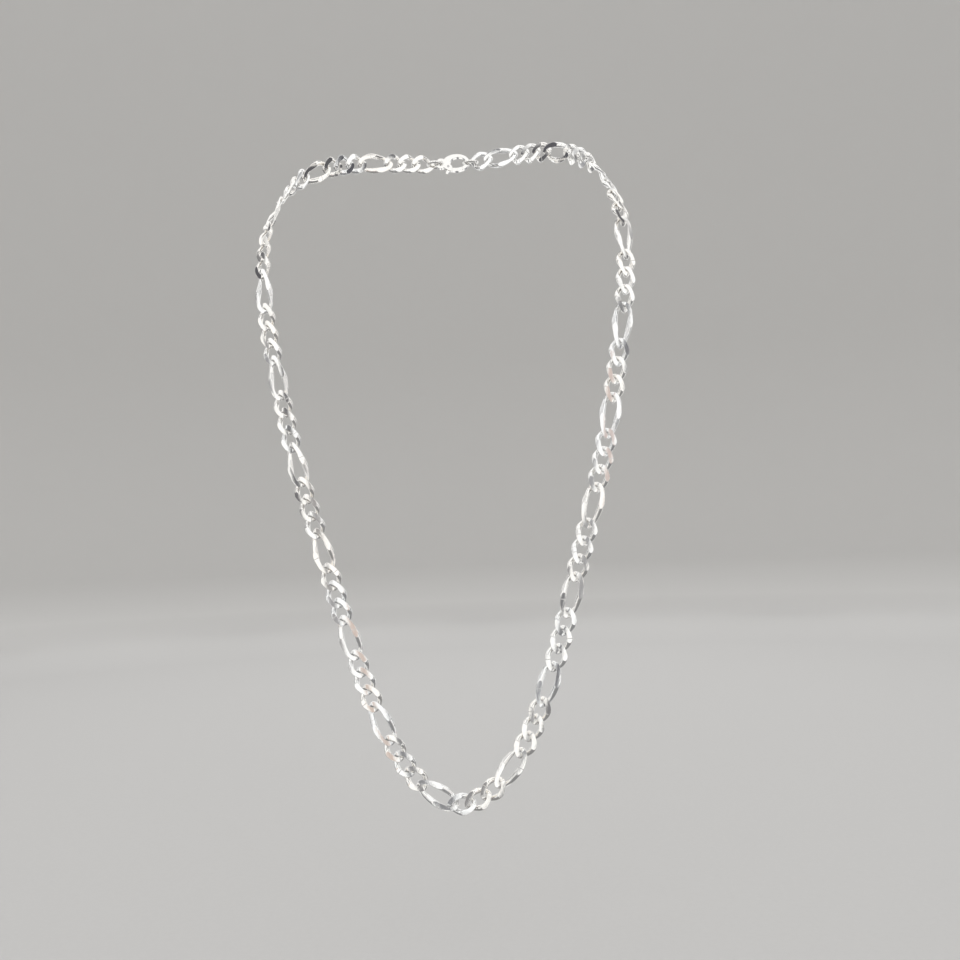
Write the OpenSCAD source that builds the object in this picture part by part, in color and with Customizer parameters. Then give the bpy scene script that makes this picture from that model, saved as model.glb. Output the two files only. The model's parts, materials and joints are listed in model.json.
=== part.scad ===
// Figaro chain necklace: flat-ground twisted links in a repeat of three small links and one long
// link, closed at the nape by a lobster clasp. It is drawn as worn: the front loop hangs in the
// vertical plane y = 0 and faces -Y, and the rest lies over the shoulders and round the nape.

/* [Links] */
// Distance between the two contacts of a small link (a long link spans two of these)
small_pitch = 6.9; // [6.5:0.1:7.5]
// Diameter of the link wire before grinding
wire_d = 2; // [1.9:0.05:2.1]
// Width over the outside of a link
link_w = 8.3; // [8:0.1:8.6]
// Thickness of the chain after both faces are ground flat
ground_t = 1.9; // [1.7:0.1:2.1]
// Turn of a small link's end out of its own plane, in degrees
small_twist = 48; // [46:1:50]
// Turn of a long link's end out of its own plane, in degrees
long_twist = 48; // [46:1:50]
// How much rolling has widened the wire at the middle of a small link's sides, as a share of it
small_spread = 0.06; // [0:0.01:0.06]
// The same for a long link
long_spread = 0.14; // [0:0.01:0.14]
// Play between two links where they meet
play = 0.28; // [0.2:0.02:0.32]

/* [Clasp] */
// Thickness of the clasp
clasp_t = 2.4; // [2.2:0.1:2.4]
// Diameter of the lever's pin
pin_d = 1; // [0.9:0.05:1.1]
// Mean diameter of the two jump rings
ring_d = 6; // [5.8:0.1:6.4]
// Wire diameter of the jump rings
ring_wire = 1.2; // [1:0.1:1.3]

/* [Hidden] */
$fn = 48;
SILVER = "silver";
STEEL = "gray";

// Each side is laid out on contacts one small pitch apart, numbered from the lowest link's ends.
front_top = 29;        // contact where the free front loop meets the shoulders
chain_end = 50;        // contact between the last link and its jump ring
repeat = 5;            // contacts in one repeat: three small links and a long one

// Course of the chain from the lowest link (0) to the nape (50), in degrees at a contact number
LEAN = [[0, 68], [1, 58], [2, 45], [3, 36], [5, 26], [8, 19], [13, 15], [18, 16], [23, 11],
        [28, 9], [32, 2], [36, -14], [40, -16], [50, -16]];
BACK = [[29, 0], [33, 9], [37, 33], [41, 59], [45, 76], [50, 88]];
FACE = [[0, 0], [6, 5], [16, 14], [26, 25], [31, 33], [37, 54], [50, 178]];

// The steep bends at the lowest link's ends: how it sits against its two contacts
bottom_slack = 0.3;
bottom_rise = 0.1;
bottom_roll = 1;
turn_from = 33;        // the chain turns inward, round the back of the neck, from this contact

// The clasp's flat walls sit a little way into the round of a ring
ring_in = ring_d - ring_wire;
ring_seat = ring_in / 2 - sqrt(pow(ring_in / 2, 2) - pow(clasp_t / 2, 2));
ring_slack = 0.24;
ring_pitch = ring_in - play - ring_seat - ring_slack;
clasp_pitch = 12.5;
nape_gap = clasp_pitch + 2 * ring_pitch;

function unit(v) = v / norm(v);
function turn(s, last_turn) =
    s < turn_from ? 0 : last_turn * pow((s - turn_from) / (chain_end - turn_from), 1.25);
function course(s, last_turn) =
    let (l = lookup(s, LEAN), b = lookup(s, BACK), t = turn(s, last_turn))
    unit([sin(l) * cos(b) - sin(b) * sin(t), sin(b) * cos(t), cos(b) * cos(l)]);

// Contacts of the right half, starting at the end of the lowest link
function half_course(last_turn) =
    [for (k = 0, p = [small_pitch / 2 - bottom_slack, 0, 0]; k <= chain_end;
          p = p + small_pitch * course(k + 0.5, last_turn), k = k + 1) p];
function end_x(last_turn) = half_course(last_turn)[chain_end][0];

// The turn at the nape that leaves just the gap for the clasp and its two rings
function solve_turn(low, high, tries) =
    let (mid = (low + high) / 2)
    tries == 0 ? mid
    : end_x(mid) > nape_gap / 2 ? solve_turn(mid, high, tries - 1)
    : solve_turn(low, mid, tries - 1);

HALF = half_course(solve_turn(40, 180, 24));
NAPE = [0, HALF[chain_end][1], HALF[chain_end][2]];   // the origin: where the neck holds it

function contact(side, k) = [side * HALF[k][0], HALF[k][1], HALF[k][2]] - NAPE;

// Outward direction of the chain's flat face at a contact number
function face(side, s) = let (f = lookup(s, FACE)) [side * sin(f), -cos(f), 0];

// Links of one side as [first contact, last contact], long links at the repeat's places
LEFT = -1;
RIGHT = 1;
function long_start(side) = side == LEFT ? 0 : 2;
function is_long(side, k) = k % repeat == long_start(side);
function in_long(side, k) = k % repeat == (long_start(side) + 1) % repeat;
function links(side) =
    [for (k = [0 : chain_end - 1]) if (!in_long(side, k)) [k, k + (is_long(side, k) ? 2 : 1)]];

// Groups of the links that lie on the neck, as ranges of contacts
GROUPS = [["shoulder", front_top, 36], ["neck", 36, 43], ["nape", 43, chain_end]];
SIDES = [["left", LEFT], ["right", RIGHT]];

function two_digits(n) = n < 10 ? str("0", n) : str(n);
function link_name(side, link) =
    str(side == LEFT ? "left" : "right", link[1] - link[0] == 2 ? "_long_" : "_small_",
        two_digits(link[0]));

// ---- one link ----------------------------------------------------------------------------

// The wire's centre line is an oval: y = b sin(t) and x = a cos(t)^(2 / fullness).
// The fullness gives both kinds of link the same round end.
half_b = (link_w - wire_d) / 2;
end_r = 2.5;
sides = 8;
half_t = ground_t / 2;

function oval_x(t, a, fullness) = sign(cos(t)) * a * pow(abs(cos(t)), 2 / fullness);
function oval(t, a, fullness, twist) =
    let (x = oval_x(t, a, fullness), y = half_b * sin(t), turn = -twist * x / a)
    [x, y * cos(turn), y * sin(turn)];

// One ring of points round the wire, held inside the two ground faces
function wire_ring(t, a, fullness, twist, spread) =
    let (c = oval(t, a, fullness, twist),
         along = unit(oval(t + 2, a, fullness, twist) - oval(t - 2, a, fullness, twist)),
         turn = -twist * c[0] / a,
         flank = unit(cross(along, [0, -sin(turn), cos(turn)])),
         up = cross(flank, along),
         wide = 1 + spread * pow(1 - pow(c[0] / a, 2), 2))
    [for (i = [0 : sides - 1])
        let (q = 180 / sides + i * 360 / sides,
             p = c + wire_d / 2 * (wide * cos(q) * flank + sin(q) * up))
        [p[0], p[1], max(-half_t, min(half_t, p[2]))]];

module flat_link(pitch, twist, spread, rings) {
    a = (pitch + wire_d + play) / 2;
    fullness = 2 * a * end_r / pow(half_b, 2);
    points = [for (j = [0 : rings - 1])
        each wire_ring(360 * (j + 0.5) / rings, a, fullness, twist, spread)];
    faces = [for (j = [0 : rings - 1], i = [0 : sides - 1])
        let (n = (j + 1) % rings, m = (i + 1) % sides)
        each [[j * sides + i, j * sides + m, n * sides + m],
              [j * sides + i, n * sides + m, n * sides + i]]];
    polyhedron(points, faces, convexity = 6);
}

// A link in place between two contacts, its flat face turned outward
module between(from, to, out) {
    along = unit(to - from);
    normal = unit(out - (out * along) * along);
    across = cross(normal, along);
    middle = (from + to) / 2;
    multmatrix([[along[0], across[0], normal[0], middle[0]],
                [along[1], across[1], normal[1], middle[1]],
                [along[2], across[2], normal[2], middle[2]]])
        children();
}

module place_link(side, link) {
    between(contact(side, link[0]), contact(side, link[1]), face(side, (link[0] + link[1]) / 2))
        if (link[1] - link[0] == 2)
            flat_link(2 * small_pitch, long_twist, long_spread, 16);
        else
            flat_link(small_pitch, small_twist, small_spread, 12);
}

// The lowest link joins the two sides
module bottom_link() {
    color(SILVER)
    translate([0, 0, bottom_rise])
    between(contact(LEFT, 0), contact(RIGHT, 0), face(RIGHT, 0))
    rotate([bottom_roll, 0, 0])
        flat_link(small_pitch, small_twist, small_spread, 12);
}

module chain_link(side, link) {
    color(SILVER) place_link(side, link);
}

module link_group(side, first, last) {
    color(SILVER)
    for (link = links(side))
        if (link[0] >= first && link[0] < last) place_link(side, link);
}

// ---- jump rings --------------------------------------------------------------------------

// A ring stands across the clasp and across the twisted end of the last link
ring_lean = 6;
module jump_ring(side) {
    color(SILVER)
    translate([side * (nape_gap / 2 + ring_slack - (ring_in - play) / 2), 0, 0])
    rotate([side * ring_lean, 0, 0])
    rotate_extrude()
    translate([ring_d / 2, 0])
    circle(d = ring_wire, $fn = 24);
}

module clasp_ring() { jump_ring(LEFT); }
module end_ring() { jump_ring(RIGHT); }

// ---- clasp -------------------------------------------------------------------------------

// The clasp lies flat against the neck: drawn in the X-Z plane, thickness along Y.
hook_x = clasp_pitch / 2;          // inner end of the hook, where the end ring pulls
eye_r = 1.1;
eye_wall = 1.2;
eye_x = -clasp_pitch / 2 + eye_r;
pivot = [-1.9, -1.5];
slot_t = 1.3;
lever_t = 1.1;
gate_t = 2.2;
gate_gap = 0.15;

body_c = [1.6, 0];
body_a = hook_x + 1.5 - body_c[0];
body_b = 3.9;
mouth_c = [2.6, 0.1];
mouth_a = hook_x - mouth_c[0];
mouth_b = 2.3;
gate_r = 6.3;                       // the lever's reach: its tip is an arc about the pivot

function ellipse(c, a, b, from, to, n) =
    [for (i = [0 : n]) let (t = from + (to - from) * i / n) c + [a * cos(t), b * sin(t)]];

module flat(t) {
    rotate([90, 0, 0]) linear_extrude(height = t, center = true) children();
}

module clasp_outline() {
    polygon(ellipse(body_c, body_a, body_b, 0, 350, 35));
    translate([eye_x, 0]) circle(r = eye_r + eye_wall);
}

// The lever's outline, drawn closed: the gate, the boss round the pin and the thumb tab
module lever_outline() {
    outer = ellipse(body_c, body_a, body_b, 242, 304, 14);
    inner = ellipse(body_c, body_a - 1.5, body_b - 1.5, 304, 242, 14);
    polygon(concat(outer, inner));
    translate(pivot) circle(r = 1.15);
    polygon([pivot + [-0.6, -1], pivot + [1.2, -0.9], outer[2], outer[0] + [0.2, 0],
             outer[0] + [-0.9, -1.1], outer[0] + [-1.9, -0.9]]);
}

// A round bar along the pin's axis
module on_pivot(d, h) {
    translate([pivot[0], 0, pivot[1]]) rotate([90, 0, 0]) cylinder(d = d, h = h, center = true);
}

module clasp_body() {
    color(SILVER)
    difference() {
        flat(clasp_t) clasp_outline();
        flat(clasp_t + 1) polygon(ellipse(mouth_c, mouth_a, mouth_b, 0, 350, 35));
        translate([eye_x, 0, 0]) rotate([90, 0, 0]) cylinder(r = eye_r, h = clasp_t + 1, center = true);
        // gate: the whole wall is open from the pivot's cheeks to the hook's tip
        intersection() {
            translate([-0.2, -clasp_t, -body_b - 1]) cube([6, 2 * clasp_t, body_b - 0.2]);
            on_pivot(2 * (gate_r + gate_gap), 2 * clasp_t);
        }
        // slot between the cheeks
        translate([-3.7, -slot_t / 2, -body_b - 1]) cube([4, slot_t, body_b + 1.2]);
        on_pivot(pin_d, clasp_t + 1);
    }
}

module clasp_lever() {
    color(SILVER)
    difference() {
        intersection() {
            union() {
                flat(lever_t) lever_outline();
                intersection() {
                    flat(gate_t) lever_outline();
                    translate([0, -clasp_t, -6]) cube([6, 2 * clasp_t, 7]);
                }
            }
            on_pivot(2 * gate_r, 2 * clasp_t);
        }
        on_pivot(pin_d + 0.06, clasp_t + 1);
    }
}

module clasp_pin() {
    color(STEEL)
    on_pivot(pin_d, clasp_t);
}

// A bent leaf that pushes the lever's tail from the closed end of the slot
module clasp_spring() {
    color(STEEL)
    flat(0.8)
    polygon(concat(ellipse(pivot, 1.65, 1.65, 100, 200, 10), ellipse(pivot, 1.4, 1.4, 200, 100, 10)));
}

bottom_link();
for (s = SIDES, link = links(s[1]))
    if (link[0] < front_top)
        chain_link(s[1], link);
for (s = SIDES, g = GROUPS)
    link_group(s[1], g[1], g[2]);
clasp_ring();
end_ring();
clasp_body();
clasp_lever();
clasp_pin();
clasp_spring();
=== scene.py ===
import json
import math
import random

import bmesh
import bpy
import numpy as np
from mathutils import Matrix, Vector


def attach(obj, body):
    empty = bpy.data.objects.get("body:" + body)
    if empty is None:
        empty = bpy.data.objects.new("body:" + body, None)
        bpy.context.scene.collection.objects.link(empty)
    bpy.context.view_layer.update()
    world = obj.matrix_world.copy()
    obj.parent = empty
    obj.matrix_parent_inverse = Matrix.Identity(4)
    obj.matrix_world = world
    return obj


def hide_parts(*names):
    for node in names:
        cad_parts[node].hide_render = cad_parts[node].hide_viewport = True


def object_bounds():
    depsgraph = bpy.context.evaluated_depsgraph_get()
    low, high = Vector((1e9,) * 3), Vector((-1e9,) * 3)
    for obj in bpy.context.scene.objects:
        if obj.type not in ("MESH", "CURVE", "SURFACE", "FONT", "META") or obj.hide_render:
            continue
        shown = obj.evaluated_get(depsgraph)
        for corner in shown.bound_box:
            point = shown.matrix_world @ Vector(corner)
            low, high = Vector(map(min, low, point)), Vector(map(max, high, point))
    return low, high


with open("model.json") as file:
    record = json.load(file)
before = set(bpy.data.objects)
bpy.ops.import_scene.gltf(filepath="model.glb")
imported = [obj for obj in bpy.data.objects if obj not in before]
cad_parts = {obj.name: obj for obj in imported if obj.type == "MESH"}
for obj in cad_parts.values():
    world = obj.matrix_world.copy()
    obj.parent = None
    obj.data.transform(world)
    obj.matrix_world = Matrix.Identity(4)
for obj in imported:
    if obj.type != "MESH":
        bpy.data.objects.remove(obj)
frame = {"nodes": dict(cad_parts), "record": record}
cad_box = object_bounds()

MM = 0.001
RECORD = frame["record"]
BODY_OF = {n: b for b, names in RECORD["behaviour"]["bodies"].items() for n in names}
MOUNTS = {m["name"]: Vector(m["pos_m"]) for m in RECORD["mounts"]}
LOWEST = MOUNTS["pendant_place"]        # middle of the lowest link
NECK_BOX = RECORD["physics"]["openings"][0]["box_m"]
NECK_MIDDLE = [(NECK_BOX[0][i] + NECK_BOX[1][i]) / 2 for i in range(3)]

# ---- sizes of the links, as in the CAD source ----------------------------------------------
SMALL_PITCH = 6.9 * MM                  # a long link spans two of these
LINK_W = 8.3 * MM
WIRE_R = 1.0 * MM
ROUND_R = 0.97 * MM                     # a round wire of the same bulk as the faceted one
HALF_B = (LINK_W - 2 * WIRE_R) / 2      # from the middle of a link to the middle of its wire
HALF_T = 0.95 * MM                      # from the middle of a link to its ground face
TWIST = math.radians(48)
PLAY = 0.28 * MM
END_R = 2.5 * MM                        # how round the ends are
SPREAD = {1: 0.09, 2: 0.17}             # how much rolling has widened a small and a long link's wire

# ---- sizes of the finish --------------------------------------------------------------------
RING_STEP = 0.27 * MM                   # spacing of the sections along a link's wire
FLAT_POINTS = 6                         # points across a ground face
ARC_POINTS = 9                          # points round the wire from one ground face to the other
EDGE = 0.09 * MM                        # width of the broken edge round a ground face
LEAST_CUT = math.radians(1.5)           # a ground face reaches at least this far round the wire
WORN_FROM, WORN_OVER = 0.62, 0.3        # rubbing starts at this share of the length and grows over that
SEAM_PLACES = (0.19, 0.31, 0.69, 0.81)  # where along the wire a link may be soldered
PILLOW_ACROSS = 0.16 * MM               # how far a ground face falls away at the link's sides
PILLOW_ALONG = 0.10 * MM                # and at its ends
HAND_TILT = 0.016                       # how unevenly the faces are ground, as a slope


def unit(v):
    """Vectors brought to length 1."""
    return v / np.linalg.norm(v, axis=-1, keepdims=True)


# ---- the CAD solids -------------------------------------------------------------------------
def solids_of(node):
    """The separate solids of a CAD node, each as (unique points, triangles)."""
    mesh = frame["nodes"][node].data
    points = np.array([v.co for v in mesh.vertices], float)
    unique, index = np.unique(np.round(points, 7), axis=0, return_inverse=True)
    index = index.reshape(-1)
    parent = list(range(len(unique)))

    def top(i):
        while parent[i] != i:
            parent[i] = parent[parent[i]]
            i = parent[i]
        return i

    faces = [[int(index[v]) for v in p.vertices] for p in mesh.polygons]
    for f in faces:
        for v in f[1:]:
            parent[top(v)] = top(f[0])
    groups = {}
    for f in faces:
        groups.setdefault(top(f[0]), []).append(f)
    solids = []
    for members in groups.values():
        used = sorted({v for f in members for v in f})
        place = {v: i for i, v in enumerate(used)}
        solids.append((unique[used], [[place[v] for v in f] for f in members]))
    return sorted(solids, key=lambda s: tuple(np.round(s[0].mean(0), 5)))


def axes_of(points):
    """Centre and axes of a solid, longest first; the last axis points away from the neck."""
    centre = points.mean(0)
    _, vectors = np.linalg.eigh(np.cov((points - centre).T))
    along, normal = vectors[:, 2], vectors[:, 0]
    outward = centre - np.array([NECK_MIDDLE[0], NECK_MIDDLE[1], centre[2]])
    if normal @ outward < 0:
        normal = -normal
    if along @ np.array([0.35, 0.1, 1.0]) < 0:
        along = -along
    return centre, np.stack([along, np.cross(normal, along), normal], 1)


# ---- one link -------------------------------------------------------------------------------
def wire_course(half_length, sections):
    """Points, directions and turns of the link's wire at equal steps along it."""
    fullness = 2 * half_length * END_R / HALF_B**2

    def at(t):
        c = np.cos(t)
        x = np.sign(c) * half_length * np.abs(c) ** (2 / fullness)
        y = HALF_B * np.sin(t)
        turn = -TWIST * x / half_length
        return np.stack([x, y * np.cos(turn), y * np.sin(turn)], -1), turn

    t = np.linspace(0, 2 * math.pi, 6001)
    run = np.concatenate([[0], np.cumsum(np.linalg.norm(np.diff(at(t)[0], axis=0), axis=1))])
    steps = (np.arange(sections) + 0.5) / sections * run[-1]
    centres, turns = at(np.interp(steps, run, t))
    reach = 0.1 * MM
    ahead = at(np.interp((steps + reach) % run[-1], run, t))[0]
    behind = at(np.interp((steps - reach) % run[-1], run, t))[0]
    return centres, unit(ahead - behind), turns, steps, run[-1]


class Grinding:
    """The ground face of one link: a soft pillow, a little uneven because it is done by hand."""

    def __init__(self, half_length, rng):
        self.across = PILLOW_ACROSS / (HALF_B + WIRE_R) ** 2
        self.along = PILLOW_ALONG / (half_length + WIRE_R) ** 2
        self.tilt_x = rng.uniform(-HAND_TILT, HAND_TILT) * SMALL_PITCH / (2 * half_length)
        self.tilt_y = rng.uniform(-HAND_TILT, HAND_TILT)
        self.low = abs(self.tilt_x) * half_length * 0.7 + abs(self.tilt_y) * HALF_B * 0.7

    def height(self, x, y):
        pillow = self.across * y**2 + self.along * x**2
        return np.minimum(HALF_T, HALF_T - self.low + self.tilt_x * x + self.tilt_y * y) - pillow


def section_corner(point, q0, side, sign, grinding):
    """Angle from q0 at which the wire's round meets the ground face, for every section."""
    low = np.zeros_like(q0)
    high = np.full_like(q0, math.radians(110))

    def above(angle):
        p = point(q0 + side * angle)
        return sign * p[..., 2] - grinding.height(p[..., 0], p[..., 1])

    cut = above(low) > 0
    for _ in range(26):
        middle = (low + high) / 2
        inside = above(middle) > 0
        low = np.where(inside, middle, low)
        high = np.where(inside, high, middle)
    return np.where(cut, np.maximum(low, LEAST_CUT), LEAST_CUT), cut


def link_mesh(name, pitch, rng):
    """A link in its own axes: twisted oval wire, both faces ground, with its edges just broken."""
    half_length = (pitch + 2 * WIRE_R + PLAY) / 2
    sections = int(round(4.6 * half_length / RING_STEP / 4)) * 4
    centres, along, turns, steps, length = wire_course(half_length, sections)
    normal = np.stack([0 * turns, -np.sin(turns), np.cos(turns)], -1)
    flank = unit(np.cross(along, normal))
    up = np.cross(flank, along)
    spread = SPREAD[round(pitch / SMALL_PITCH)]
    flank = flank * (1 + spread * (1 - (centres[:, 0] / half_length) ** 2) ** 2)[:, None]

    def point(q):
        return centres + ROUND_R * (np.cos(q)[:, None] * flank + np.sin(q)[:, None] * up)

    q_top = np.arctan2(up[:, 2], flank[:, 2])
    front, back = Grinding(half_length, rng), Grinding(half_length, rng)
    a1, cut_front = section_corner(point, q_top, 1, 1, front)
    a2, _ = section_corner(point, q_top, -1, 1, front)
    b1, cut_back = section_corner(point, q_top + math.pi, -1, -1, back)
    b2, _ = section_corner(point, q_top + math.pi, 1, -1, back)
    break_angle = EDGE / ROUND_R

    columns, kinds = [], []

    def add_flat(q_from, q_to, face, sign, cut):
        start, end = point(q_from), point(q_to)
        width = np.linalg.norm(end - start, axis=1)
        inset = np.minimum(EDGE / np.maximum(width, 1e-9), 0.3)
        for k in range(FLAT_POINTS):
            s = inset + (1 - 2 * inset) * k / (FLAT_POINTS - 1)
            p = start + s[:, None] * (end - start)
            level = sign * face.height(p[:, 0], p[:, 1])
            p[:, 2] = np.where(cut, level, p[:, 2])
            columns.append(p)
            kinds.append(1.0)

    def add_arc(q_from, q_to):
        for k in range(ARC_POINTS):
            s = k / (ARC_POINTS - 1)
            q = q_from + break_angle + s * (q_to - q_from - 2 * break_angle)
            columns.append(point(q))
            kinds.append(0.0)

    add_flat(q_top - a2, q_top + a1, front, 1, cut_front)
    add_arc(q_top + a1, q_top + math.pi - b1)
    add_flat(q_top + math.pi - b1, q_top + math.pi + b2, back, -1, cut_back)
    add_arc(q_top + math.pi + b2, q_top + 2 * math.pi - a2)

    n = len(columns)
    points = np.stack(columns, 1).reshape(-1, 3)
    j, i = np.meshgrid(np.arange(sections), np.arange(n), indexing="ij")
    j, i = j.reshape(-1), i.reshape(-1)
    nj, ni = (j + 1) % sections, (i + 1) % n
    quads = np.stack([j * n + i, j * n + ni, nj * n + ni, nj * n + i], -1)
    corner = points[quads]
    volume = np.einsum("ij,ij->", corner[:, 0], np.cross(corner[:, 1], corner[:, 2]))
    if volume < 0:
        quads = quads[:, ::-1]
    sharp = {0, FLAT_POINTS - 1, FLAT_POINTS + ARC_POINTS, 2 * FLAT_POINTS + ARC_POINTS - 1}

    mesh = bpy.data.meshes.new(name)
    mesh.from_pydata(points.tolist(), [], quads.tolist())
    mesh.shade_smooth()
    mark_sharp(mesh, n, sharp)

    ends = np.clip((np.abs(points[:, 0]) / half_length - WORN_FROM) / WORN_OVER, 0, 1)
    toward = np.repeat(centres, n, 0)
    inner = np.clip(-np.sign(toward[:, 0]) * (points[:, 0] - toward[:, 0]) / WIRE_R, 0, 1)
    seam_at = rng.choice(SEAM_PLACES) * length
    around = np.repeat(steps, n) - seam_at
    offset = np.array([rng.uniform(0, 60) for _ in range(3)])
    put_attribute(mesh, "grain", "FLOAT_VECTOR", points / MM + offset)
    put_attribute(mesh, "flat", "FLOAT", np.tile(kinds, sections))
    put_attribute(mesh, "worn", "FLOAT", ends * inner)
    put_attribute(mesh, "seam", "FLOAT", around / MM)
    put_attribute(mesh, "tone", "FLOAT", np.full(len(points), rng.random()))
    return mesh


def mark_sharp(mesh, n, sharp):
    """Keep the shading sharp along the given columns of a mesh that has n points a section."""
    edges = np.zeros(len(mesh.edges) * 2, np.int32)
    mesh.edges.foreach_get("vertices", edges)
    columns = edges.reshape(-1, 2) % n
    same = (columns[:, 0] == columns[:, 1]) & np.isin(columns[:, 0], list(sharp))
    attribute = mesh.attributes.new("sharp_edge", "BOOLEAN", "EDGE")
    attribute.data.foreach_set("value", same)


def put_attribute(mesh, name, kind, values):
    """Store a value or a vector at every point of a mesh, for its material to read."""
    attribute = mesh.attributes.new(name, kind, "POINT")
    key = "vector" if kind == "FLOAT_VECTOR" else "value"
    attribute.data.foreach_set(key, np.asarray(values, np.float32).reshape(-1))


# ---- materials ------------------------------------------------------------------------------
class Tree:
    """A small helper to write a material's nodes in the order they work."""

    def __init__(self, name):
        self.material = bpy.data.materials.new(name)
        self.material.use_nodes = True
        self.nodes = self.material.node_tree.nodes
        self.links = self.material.node_tree.links
        self.nodes.clear()
        self.shader = self.nodes.new("ShaderNodeBsdfPrincipled")
        output = self.nodes.new("ShaderNodeOutputMaterial")
        self.links.new(self.shader.outputs["BSDF"], output.inputs["Surface"])

    def set(self, node, socket, value):
        target = node.inputs[socket]
        if isinstance(value, bpy.types.NodeSocket):
            self.links.new(value, target)
        else:
            target.default_value = value

    def attribute(self, name, output="Fac"):
        node = self.nodes.new("ShaderNodeAttribute")
        node.attribute_name = name
        return node.outputs[output]

    def object_mm(self):
        coordinates = self.nodes.new("ShaderNodeTexCoord")
        return self.vector("SCALE", coordinates.outputs["Object"], 1 / MM)

    def vector(self, operation, a, b):
        node = self.nodes.new("ShaderNodeVectorMath")
        node.operation = operation
        self.set(node, 0, a)
        self.set(node, "Scale" if operation == "SCALE" else 1, b)
        return node.outputs[0]

    def math(self, operation, a, b=0.0, clamp=False):
        node = self.nodes.new("ShaderNodeMath")
        node.operation = operation
        node.use_clamp = clamp
        self.set(node, 0, a)
        self.set(node, 1, b)
        return node.outputs[0]

    def spread(self, value, low, high, to_low, to_high):
        node = self.nodes.new("ShaderNodeMapRange")
        for socket, v in zip(("Value", "From Min", "From Max", "To Min", "To Max"),
                             (value, low, high, to_low, to_high)):
            self.set(node, socket, v)
        return node.outputs[0]

    def noise(self, place, scale, detail=3.0, roughness=0.55):
        node = self.nodes.new("ShaderNodeTexNoise")
        for socket, v in (("Vector", place), ("Scale", scale), ("Detail", detail),
                          ("Roughness", roughness)):
            self.set(node, socket, v)
        return node.outputs["Fac"]

    def mix(self, factor, a, b):
        node = self.nodes.new("ShaderNodeMix")
        node.data_type = "RGBA"
        self.set(node, "Factor", factor)
        self.set(node, "A", a)
        self.set(node, "B", b)
        return node.outputs["Result"]

    def bump(self, height, distance, normal=None):
        node = self.nodes.new("ShaderNodeBump")
        self.set(node, "Height", height)
        self.set(node, "Distance", distance)
        if normal is not None:
            self.set(node, "Normal", normal)
        return node.outputs["Normal"]

    def finish(self, **sockets):
        for name, value in sockets.items():
            self.set(self.shader, name.replace("_", " "), value)
        return self.material


def silver_link_material():
    """Ground and polished silver: fine draw lines along the flats, rubbed ends, a solder seam."""
    t = Tree("polished_silver")
    grain = t.attribute("grain", "Vector")
    flat, worn, tone = t.attribute("flat"), t.attribute("worn"), t.attribute("tone")
    clouds = t.noise(grain, 0.45, 2.0)
    draw_lines = t.noise(t.vector("MULTIPLY", grain, (0.7, 9.0, 9.0)), 1.0, 4.0, 0.65)
    specks = t.noise(grain, 7.0, 3.0, 0.7)
    ripples = t.noise(grain, 1.1, 1.0)
    seam = t.spread(t.math("ABSOLUTE", t.attribute("seam")), 0.03, 0.11, 1.0, 0.0)
    seam = t.math("MULTIPLY", seam, t.spread(draw_lines, 0.35, 0.6, 0.25, 1.0))

    silver = t.mix(tone, (0.945, 0.950, 0.955, 1), (0.965, 0.940, 0.905, 1))
    silver = t.mix(t.spread(clouds, 0.55, 0.8, 0.0, 0.45), silver, (0.84, 0.81, 0.77, 1))
    rubbed = t.math("MULTIPLY", worn, t.spread(specks, 0.35, 0.7, 0.25, 0.85))
    silver = t.mix(rubbed, silver, (0.60, 0.58, 0.56, 1))
    silver = t.mix(t.math("MULTIPLY", seam, 0.6), silver, (0.42, 0.40, 0.38, 1))

    rough = t.spread(draw_lines, 0.3, 0.75, 0.04, 0.10)
    rough = t.math("ADD", rough, t.math("MULTIPLY", rubbed, 0.22))
    rough = t.math("ADD", rough, t.math("MULTIPLY", t.math("SUBTRACT", 1.0, flat), 0.035))
    rough = t.math("ADD", rough, t.math("MULTIPLY", seam, 0.15))

    normal = t.bump(ripples, 9e-6)
    normal = t.bump(draw_lines, 1.6e-6, normal)
    normal = t.bump(t.math("MULTIPLY", specks, t.math("ADD", worn, 0.12)), 6e-6, normal)
    normal = t.bump(t.math("MULTIPLY", seam, -1.0), 2.5e-5, normal)
    return t.finish(Base_Color=silver, Roughness=rough, Normal=normal, Metallic=1.0)


def cast_silver_material():
    """Cast and tumbled silver of the clasp and rings: rounder polish, darker in the grain."""
    t = Tree("cast_silver")
    place = t.object_mm()
    clouds = t.noise(place, 0.6, 3.0)
    specks = t.noise(place, 6.0, 4.0, 0.65)
    lines = t.noise(t.vector("MULTIPLY", place, (0.8, 10.0, 8.0)), 1.0, 3.0)
    silver = t.mix(clouds, (0.935, 0.930, 0.925, 1), (0.87, 0.850, 0.82, 1))
    silver = t.mix(t.spread(specks, 0.6, 0.75, 0.0, 0.35), silver, (0.62, 0.60, 0.57, 1))
    rough = t.spread(t.math("ADD", clouds, specks), 0.7, 1.35, 0.04, 0.15)
    normal = t.bump(t.noise(place, 0.8, 1.0), 8e-6)
    normal = t.bump(lines, 1.4e-6, normal)
    normal = t.bump(specks, 1.2e-6, normal)
    return t.finish(Base_Color=silver, Roughness=rough, Normal=normal, Metallic=1.0)


def steel_material():
    """Turned steel of the rivet and the spring: fine turning marks and a grey film."""
    t = Tree("pin_steel")
    place = t.object_mm()
    marks = t.noise(t.vector("MULTIPLY", place, (14.0, 1.5, 14.0)), 1.0, 4.0, 0.7)
    film = t.noise(place, 1.8, 3.0)
    steel = t.mix(film, (0.66, 0.66, 0.67, 1), (0.50, 0.49, 0.48, 1))
    rough = t.spread(marks, 0.3, 0.7, 0.20, 0.40)
    normal = t.bump(marks, 3.0e-6)
    return t.finish(Base_Color=steel, Roughness=rough, Normal=normal, Metallic=1.0)


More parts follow.
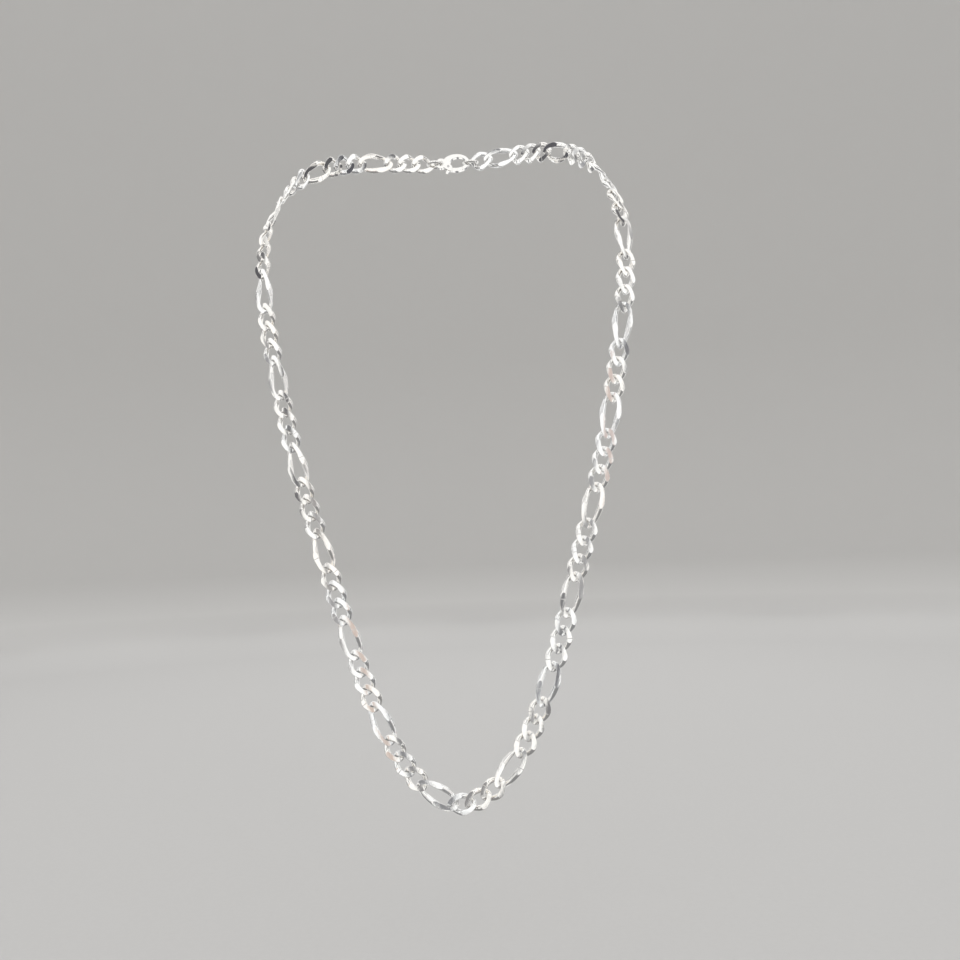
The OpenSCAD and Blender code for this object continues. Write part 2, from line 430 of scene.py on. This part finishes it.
def backdrop_material():
    """Matt pale paper with painted light: painted paler away from the middle, where less light falls.
    """
    t = Tree("pale_paper")
    place = t.object_mm()
    fibre = t.noise(place, 0.35, 5.0, 0.6)
    away = t.nodes.new("ShaderNodeVectorMath")
    away.operation = "LENGTH"
    t.set(away, 0, t.vector("MULTIPLY", place, (1.0, 1.0, 0.0)))
    # painted light: the paper's colour is raised away from the middle to stand in for light that falls
    # off there
    painted_fill = t.spread(away.outputs["Value"], 1100, 2100, 0.0, 1.0)
    paper = t.mix(painted_fill, (0.57, 0.565, 0.56, 1), (0.80, 0.795, 0.785, 1))
    paper = t.mix(t.math("MULTIPLY", fibre, 0.08), paper, (0.95, 0.95, 0.94, 1))
    return t.finish(Base_Color=paper, Roughness=0.95, Normal=t.bump(fibre, 4e-5))


SILVER = silver_link_material()
CAST = cast_silver_material()
STEEL = steel_material()


# ---- pieces ---------------------------------------------------------------------------------
def add_piece(name, mesh, node, material):
    """A finished piece that stands for a CAD node and rides with its body."""
    piece = bpy.data.objects.new(name, mesh)
    bpy.context.scene.collection.objects.link(piece)
    mesh.materials.clear()
    mesh.materials.append(material)
    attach(piece, BODY_OF[node])
    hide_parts(node)
    return piece


def make_links(node):
    """A finely made link in the place of each CAD link of a node."""
    solids = solids_of(node)
    for k, (points, _) in enumerate(solids):
        centre, axes = axes_of(points)
        local = (points - centre) @ axes
        pitch = SMALL_PITCH if np.ptp(local[:, 0]) < 2 * SMALL_PITCH else 2 * SMALL_PITCH
        name = node + "_silver" if len(solids) == 1 else f"{node}_{k + 1}_silver"
        mesh = link_mesh(name, pitch, random.Random(name))
        place = Matrix.Identity(4)
        for r in range(3):
            for c in range(3):
                place[r][c] = axes[r, c]
            place[r][3] = centre[r]
        mesh.transform(place)
        add_piece(name, mesh, node, SILVER)


def make_ring(node):
    """A jump ring of round wire with its cut ends just touching."""
    points, _ = solids_of(node)[0]
    centre, axes = axes_of(points)
    local = (points - centre) @ axes
    radius = np.linalg.norm(local[:, :2], axis=1)
    wire = np.ptp(local[:, 2]) / 2
    mean = (radius.max() + radius.min()) / 2
    turns, sides = 144, 28
    cut_at, cut_half = math.radians(38), math.radians(1.2)
    verts = []
    for j in range(turns):
        t = 2 * math.pi * j / turns
        off = abs((t - cut_at + math.pi) % (2 * math.pi) - math.pi)
        pinch = 1 - 0.10 * math.exp(-((off / cut_half) ** 2))
        for i in range(sides):
            q = 2 * math.pi * i / sides
            r = mean + wire * pinch * math.cos(q)
            verts.append((r * math.cos(t), r * math.sin(t), wire * pinch * math.sin(q)))
    faces = [(j * sides + i, (j + 1) % turns * sides + i,
              (j + 1) % turns * sides + (i + 1) % sides, j * sides + (i + 1) % sides)
             for j in range(turns) for i in range(sides)]
    mesh = bpy.data.meshes.new(node + "_silver")
    mesh.from_pydata([tuple(centre + axes @ np.array(v)) for v in verts], [], faces)
    mesh.shade_smooth()
    add_piece(node + "_silver", mesh, node, CAST)


def make_rounded(node, width, material):
    """The CAD solid with its edges rounded over, as casting and tumbling leave them."""
    points, faces = solids_of(node)[0]
    mesh = bpy.data.meshes.new(node + "_finished")
    mesh.from_pydata(points.tolist(), [], faces)
    b = bmesh.new()
    b.from_mesh(mesh)
    bmesh.ops.dissolve_limit(b, angle_limit=math.radians(2), verts=b.verts, edges=b.edges)
    b.to_mesh(mesh)
    b.free()
    piece = add_piece(node + "_finished", mesh, node, material)
    bevel = piece.modifiers.new("rounding", "BEVEL")
    bevel.width = width
    bevel.segments = 4
    bevel.limit_method = "ANGLE"
    bevel.angle_limit = math.radians(32)
    bevel.use_clamp_overlap = True
    bevel.miter_outer = "MITER_ARC"
    mesh.shade_smooth()
    normals = piece.modifiers.new("normals", "WEIGHTED_NORMAL")
    normals.keep_sharp = True
    return piece


for node_name in frame["nodes"]:
    if "_long_" in node_name or "_small_" in node_name or node_name.endswith(("_links", "_link")):
        make_links(node_name)
make_ring("clasp_ring")
make_ring("end_ring")
make_rounded("clasp_body", 0.28 * MM, CAST)
make_rounded("clasp_lever", 0.16 * MM, CAST)
make_rounded("clasp_pin", 0.10 * MM, STEEL)
make_rounded("clasp_spring", 0.05 * MM, STEEL)


# ---- stage ----------------------------------------------------------------------------------
FLOOR_DROP = 0.075                      # from the lowest link down to the floor
STAGE_R = 5.5
SWEEP_R = 1.2
STAGE_H = 4.2
MIDDLE = Vector((cad_box[0] + cad_box[1]) / 2)


def add_stage():
    """A pale floor that sweeps up into a round wall, so that every view has the same backdrop."""
    floor_z = LOWEST.z - FLOOR_DROP
    profile = [(r, 0.0) for r in (0.0, 0.4, 1.2, 2.5, STAGE_R - SWEEP_R)]
    for k in range(1, 17):
        a = math.radians(90 * k / 16)
        profile.append((STAGE_R - SWEEP_R + SWEEP_R * math.sin(a), SWEEP_R * (1 - math.cos(a))))
    profile.append((STAGE_R, STAGE_H))
    around = 96
    verts = [(r * math.cos(2 * math.pi * j / around), r * math.sin(2 * math.pi * j / around),
              floor_z + z) for r, z in profile for j in range(around)]
    faces = [(k * around + j, k * around + (j + 1) % around,
              (k + 1) * around + (j + 1) % around, (k + 1) * around + j)
             for k in range(len(profile) - 1) for j in range(around)]
    mesh = bpy.data.meshes.new("backdrop")
    mesh.from_pydata(verts, [], faces)
    mesh.shade_smooth()
    mesh.materials.append(backdrop_material())
    floor = bpy.data.objects.new("backdrop", mesh)
    bpy.context.scene.collection.objects.link(floor)
    floor.visible_glossy = False


# ---- light ----------------------------------------------------------------------------------
# The silver is lit by a light tent, which only the metal sees: bright cloth with upright gaps.
TENT_R = 1.6
CLOTH = (1.12, 1.12, 1.10)
TENT_FLOOR = (0.26, 0.26, 0.26)
FLOOR_FROM = -24                        # the tent's floor starts this many degrees up
# Eight dark beams above the cloth, with their places and sizes in degrees
BEAMS = (0.14, 0.14, 0.15)
BEAM_STEP = 45
BEAM_HEIGHT = 42
BEAM_HALF_WIDTH = 9
BEAM_HALF_HEIGHT = 12
# Each gap: degrees round from the front, half its width, how high it goes, its glow
GAPS = (
    (-102, 14, 34, (0.11, 0.11, 0.12)), (-72, 3, 14, (0.34, 0.34, 0.35)),
    (-54, 3, 16, (0.16, 0.16, 0.17)), (-38, 3, 16, (0.36, 0.35, 0.35)),
    (-22, 3, 18, (0.66, 0.55, 0.49)), (-9, 2.5, 12, (0.24, 0.24, 0.25)),
    (5, 2.5, 12, (0.34, 0.34, 0.35)), (17, 3, 14, (0.20, 0.20, 0.21)), (31, 3, 16, (0.36, 0.36, 0.37)),
    (45, 3, 16, (0.66, 0.56, 0.52)), (61, 3.5, 16, (0.22, 0.22, 0.23)),
    (100, 14, 34, (0.11, 0.11, 0.12)), (129, 3, 16, (0.34, 0.34, 0.35)),
    (147, 3, 16, (0.18, 0.18, 0.19)), (163, 3, 16, (0.35, 0.35, 0.36)),
    (-177, 3, 14, (0.24, 0.24, 0.25)), (-160, 3, 16, (0.36, 0.36, 0.37)),
    (-143, 3, 16, (0.18, 0.18, 0.19)), (-127, 3, 16, (0.34, 0.34, 0.35)))


def step(x):
    """A soft step from 0 to 1."""
    x = np.clip(x, 0, 1)
    return x * x * (3 - 2 * x)


def tent_glow(towards):
    """What the tent shows in each direction from its middle."""
    azimuth = np.degrees(np.arctan2(towards[:, 0], -towards[:, 1]))
    height = np.degrees(np.arcsin(towards[:, 2]))
    glow = np.tile(CLOTH, (len(towards), 1))
    for at, half, top, colour in GAPS:
        off = np.abs((azimuth - at + 180) % 360 - 180)
        inside = step((half + 1.5 - off) / 3) * step((top - height) / 10)
        glow += inside[:, None] * (np.array(colour) - glow)
    beam = (step((BEAM_HALF_WIDTH - np.abs(azimuth % BEAM_STEP - BEAM_STEP / 2)) / 3)
            * step((BEAM_HALF_HEIGHT - np.abs(height - BEAM_HEIGHT)) / 4))
    glow += beam[:, None] * (np.array(BEAMS) - glow)
    glow += step((FLOOR_FROM - height) / 12)[:, None] * (np.array(TENT_FLOOR) - glow)
    return glow


def add_tent():
    """A sphere round the necklace that glows as the tent does, seen by reflections alone."""
    around, rows = 240, 120
    towards = np.array([(math.cos(2 * math.pi * j / around) * math.sin(math.pi * k / rows),
                         math.sin(2 * math.pi * j / around) * math.sin(math.pi * k / rows),
                         math.cos(math.pi * k / rows)) for k in range(rows + 1) for j in range(around)])
    faces = [(k * around + j, (k + 1) * around + j, (k + 1) * around + (j + 1) % around,
              k * around + (j + 1) % around) for k in range(rows) for j in range(around)]
    mesh = bpy.data.meshes.new("light_tent")
    mesh.from_pydata((towards * TENT_R + np.array(MIDDLE)).tolist(), [], faces)
    put_attribute(mesh, "glow", "FLOAT_VECTOR", tent_glow(towards))
    t = Tree("light_tent")
    mesh.materials.append(t.finish(Base_Color=(0, 0, 0, 1), Emission_Color=t.attribute("glow", "Color"),
                                   Emission_Strength=1.0, Specular_IOR_Level=0.0))
    tent = bpy.data.objects.new("light_tent", mesh)
    bpy.context.scene.collection.objects.link(tent)
    tent.visible_camera = False
    tent.visible_diffuse = False
    tent.visible_shadow = False


def aim(obj, place, target):
    """Put a light at a place and turn it to its target."""
    obj.location = place
    obj.rotation_mode = "QUATERNION"
    obj.rotation_quaternion = (Vector(target) - Vector(place)).to_track_quat("-Z", "Y")


def add_softbox(name, place, size, watts):
    """A softbox that lights the backdrop and isn't seen in the silver."""
    light = bpy.data.lights.new(name, "AREA")
    light.shape = "RECTANGLE"
    light.size, light.size_y = size
    light.energy = watts
    box = bpy.data.objects.new(name, light)
    bpy.context.scene.collection.objects.link(box)
    box.visible_camera = False
    box.visible_glossy = False
    aim(box, MIDDLE + Vector(place), MIDDLE)


def add_world():
    """An even, faintly warm sky."""
    world = bpy.data.worlds.new("studio")
    world.use_nodes = True
    background = world.node_tree.nodes["Background"]
    background.inputs["Color"].default_value = (1.0, 0.99, 0.975, 1)
    background.inputs["Strength"].default_value = 0.66
    bpy.context.scene.world = world


# ---- camera ---------------------------------------------------------------------------------
# The camera's place from the lowest link, its turn, tilt and roll
CAMERA_PLACE = Vector((0.0369, -0.3889, 0.1028))
CAMERA_YAW = math.radians(3.74)
CAMERA_PITCH = math.radians(2.69)
CAMERA_ROLL = math.radians(-2.2)
FIELD_OF_VIEW = math.radians(50)


def add_camera():
    """The camera, in front of the lowest link, tilted and rolled a little."""
    data = bpy.data.cameras.new("camera")
    data.sensor_width = 36
    data.lens = data.sensor_width / 2 / math.tan(FIELD_OF_VIEW / 2)
    data.clip_start, data.clip_end = 0.01, 20
    data.dof.use_dof = False
    camera = bpy.data.objects.new("camera", data)
    bpy.context.scene.collection.objects.link(camera)
    forward = Vector((-math.sin(CAMERA_YAW) * math.cos(CAMERA_PITCH),
                      math.cos(CAMERA_YAW) * math.cos(CAMERA_PITCH), math.sin(CAMERA_PITCH)))
    right = Vector((math.cos(CAMERA_YAW), math.sin(CAMERA_YAW), 0))
    up = right.cross(forward)
    x_axis = right * math.cos(CAMERA_ROLL) + up * math.sin(CAMERA_ROLL)
    y_axis = up * math.cos(CAMERA_ROLL) - right * math.sin(CAMERA_ROLL)
    turn = Matrix((x_axis, y_axis, -forward)).transposed()
    camera.matrix_world = Matrix.Translation(LOWEST + CAMERA_PLACE) @ turn.to_4x4()
    bpy.context.scene.camera = camera


add_stage()
add_tent()
add_world()
add_softbox("overhead", (0.0, -0.2, 1.8), (2.6, 2.4), 9)
add_softbox("front_high", (0.25, -1.25, 0.95), (1.3, 0.6), 5)
add_softbox("back", (0.0, 1.2, 0.8), (1.4, 0.6), 3)
add_camera()
bpy.context.scene.view_settings.view_transform = "Standard"
